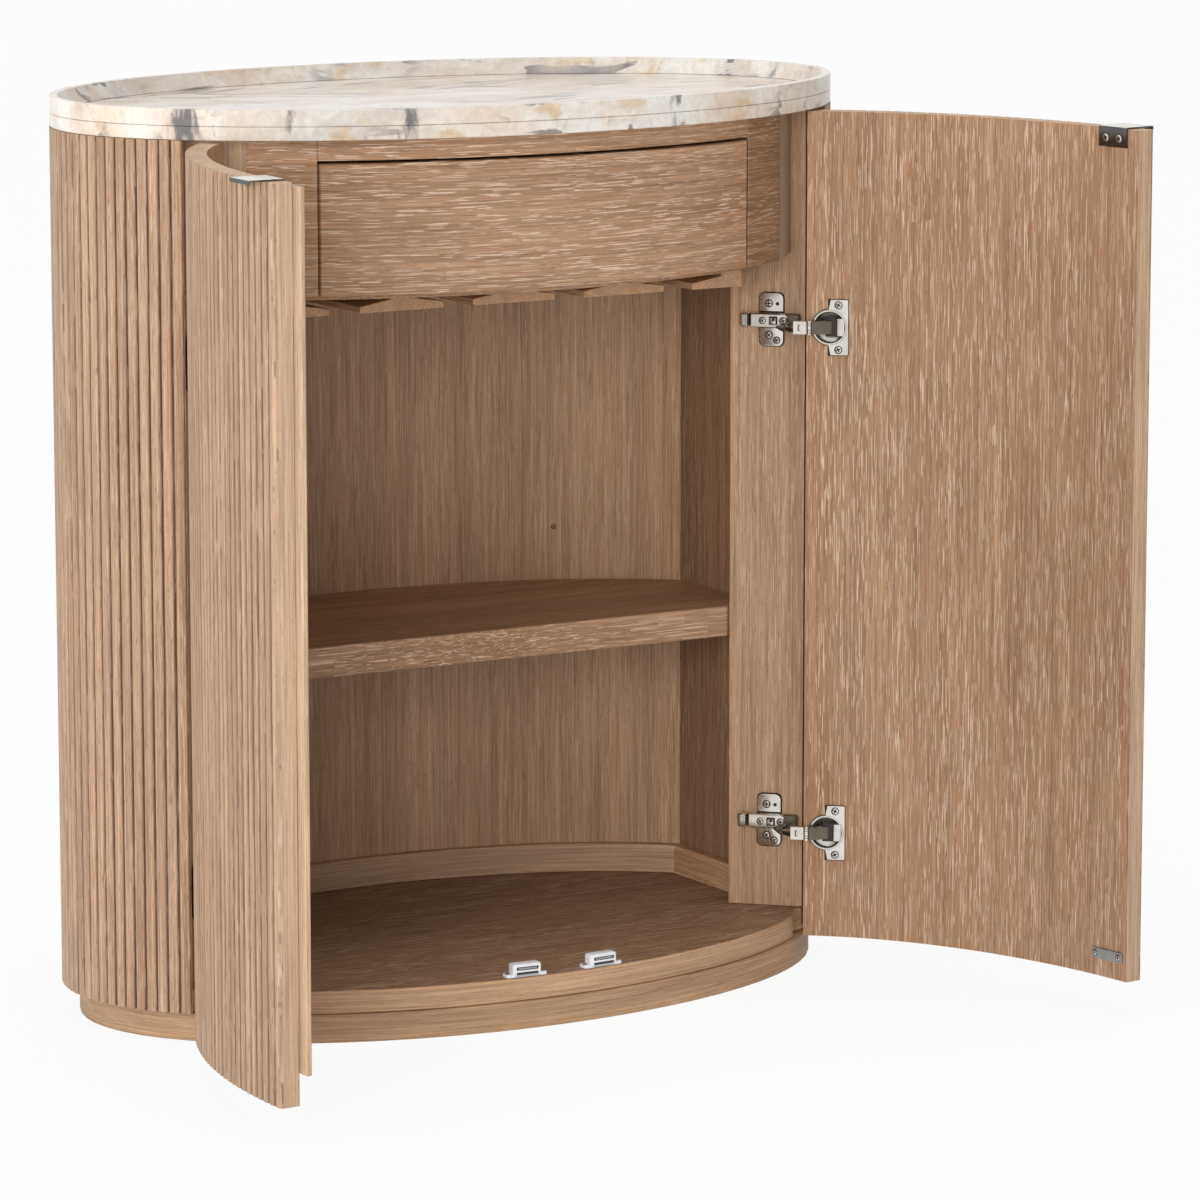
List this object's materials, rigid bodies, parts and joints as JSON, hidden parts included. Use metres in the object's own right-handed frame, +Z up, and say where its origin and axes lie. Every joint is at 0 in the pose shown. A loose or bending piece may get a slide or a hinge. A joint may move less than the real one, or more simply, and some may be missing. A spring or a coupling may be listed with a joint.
{
  "type": "oval bar cabinet",
  "caption": "Oval reeded oak bar cabinet with a stone tray top, curved hinged doors, a bowed drawer, stem-glass rails and a shelf.",
  "frame": {"origin": "centre of the oval on the floor, under the plinth's cross brace", "axes": "+X to the right seen from the front, +Y to the back, +Z up; the doors face -Y"},
  "size_m": [0.9943, 0.7714, 0.907],
  "materials": {
    "limed_oak": "limed open-grain oak, satin",
    "limed_oak_inside": "limed oak veneer inside, satin",
    "veined_stone": "polished, veined",
    "nickel": "nickel plated",
    "grey_steel": "plain grey steel",
    "polished_metal": "polished",
    "white_plastic": "moulded white plastic"
  },
  "bodies": {
    "cabinet": {"plinth": "limed_oak", "floor_panel": "limed_oak", "outer_shell": "limed_oak", "back_panel": "limed_oak_inside", "left_inner_side": "limed_oak_inside", "right_inner_side": "limed_oak_inside", "left_hinge_panel": "limed_oak_inside", "right_hinge_panel": "limed_oak_inside", "sub_top": "limed_oak_inside", "stone_slab": "veined_stone", "stone_lip": "veined_stone", "top_rail": "limed_oak", "left_stile": "limed_oak", "right_stile": "limed_oak", "drawer_deck": "limed_oak_inside", "glass_rail_1": "limed_oak", "glass_rail_2": "limed_oak", "glass_rail_3": "limed_oak", "glass_rail_4": "limed_oak", "glass_rail_5": "limed_oak", "shelf": "limed_oak_inside", "shelf_pin_1": "nickel", "shelf_pin_2": "nickel", "shelf_pin_3": "nickel", "shelf_pin_4": "nickel", "back_kick": "limed_oak_inside", "left_kick": "limed_oak_inside", "right_kick": "limed_oak_inside", "left_catch": "white_plastic", "right_catch": "white_plastic", "left_runner": "limed_oak_inside", "right_runner": "limed_oak_inside", "left_lower_arm": "nickel", "left_upper_arm": "nickel", "right_lower_arm": "nickel", "right_upper_arm": "nickel"},
    "drawer": {"drawer_front": "limed_oak", "drawer_left_side": "limed_oak_inside", "drawer_right_side": "limed_oak_inside", "drawer_back": "limed_oak_inside", "drawer_bottom": "limed_oak_inside"},
    "left_door_leaf": {"left_door": "limed_oak", "astragal": "limed_oak", "left_pull": "polished_metal", "left_strike": "grey_steel", "left_lower_cup": "nickel", "left_upper_cup": "nickel"},
    "right_door_leaf": {"right_door": "limed_oak", "right_pull": "polished_metal", "right_strike": "grey_steel", "right_lower_cup": "nickel", "right_upper_cup": "nickel"},
    "left_lower_release": {"left_lower_lever": "nickel"},
    "left_lower_swing_link": {"left_lower_link": "nickel"},
    "left_upper_release": {"left_upper_lever": "nickel"},
    "left_upper_swing_link": {"left_upper_link": "nickel"},
    "right_lower_release": {"right_lower_lever": "nickel"},
    "right_lower_swing_link": {"right_lower_link": "nickel"},
    "right_upper_release": {"right_upper_lever": "nickel"},
    "right_upper_swing_link": {"right_upper_link": "nickel"}
  },
  "joints": [
    {"name": "left_door_swing", "type": "hinge", "parent": "cabinet", "child": "left_door_leaf", "pos_m": [-0.35926, -0.14262, 0.454], "axis": [0, 0, -1], "range_deg": [-88, 0]},
    {"name": "right_door_swing", "type": "hinge", "parent": "cabinet", "child": "right_door_leaf", "pos_m": [0.35926, -0.14262, 0.454], "axis": [0, 0, 1], "range_deg": [-96, 0]},
    {"name": "drawer_slide", "type": "slide", "parent": "cabinet", "child": "drawer", "axis": [0, -1, 0], "range_m": [0, 0.22]},
    {"name": "left_lower_release_turn", "type": "hinge", "parent": "cabinet", "child": "left_lower_release", "pos_m": [-0.31178, -0.07093, 0.1415], "axis": [0, 0, -1], "range_deg": [0, 20]},
    {"name": "left_lower_link_turn", "type": "hinge", "parent": "cabinet", "child": "left_lower_swing_link", "pos_m": [-0.31718, -0.12797, 0.1415], "axis": [0, 0, -1], "range_deg": [-88, 0]},
    {"name": "left_upper_release_turn", "type": "hinge", "parent": "cabinet", "child": "left_upper_release", "pos_m": [-0.31178, -0.07093, 0.6585], "axis": [0, 0, -1], "range_deg": [0, 20]},
    {"name": "left_upper_link_turn", "type": "hinge", "parent": "cabinet", "child": "left_upper_swing_link", "pos_m": [-0.31718, -0.12797, 0.6585], "axis": [0, 0, -1], "range_deg": [-88, 0]},
    {"name": "right_lower_release_turn", "type": "hinge", "parent": "cabinet", "child": "right_lower_release", "pos_m": [0.31178, -0.07093, 0.1415], "axis": [0, 0, 1], "range_deg": [0, 20]},
    {"name": "right_lower_link_turn", "type": "hinge", "parent": "cabinet", "child": "right_lower_swing_link", "pos_m": [0.31718, -0.12797, 0.1415], "axis": [0, 0, 1], "range_deg": [-96, 0]},
    {"name": "right_upper_release_turn", "type": "hinge", "parent": "cabinet", "child": "right_upper_release", "pos_m": [0.31178, -0.07093, 0.6585], "axis": [0, 0, 1], "range_deg": [0, 20]},
    {"name": "right_upper_link_turn", "type": "hinge", "parent": "cabinet", "child": "right_upper_swing_link", "pos_m": [0.31718, -0.12797, 0.6585], "axis": [0, 0, 1], "range_deg": [-96, 0]}
  ],
  "couplings": [
    {"joint": "left_lower_link_turn", "follows": "left_door_swing", "ratio": 1},
    {"joint": "left_upper_link_turn", "follows": "left_door_swing", "ratio": 1},
    {"joint": "right_lower_link_turn", "follows": "right_door_swing", "ratio": 1},
    {"joint": "right_upper_link_turn", "follows": "right_door_swing", "ratio": 1}
  ]
}
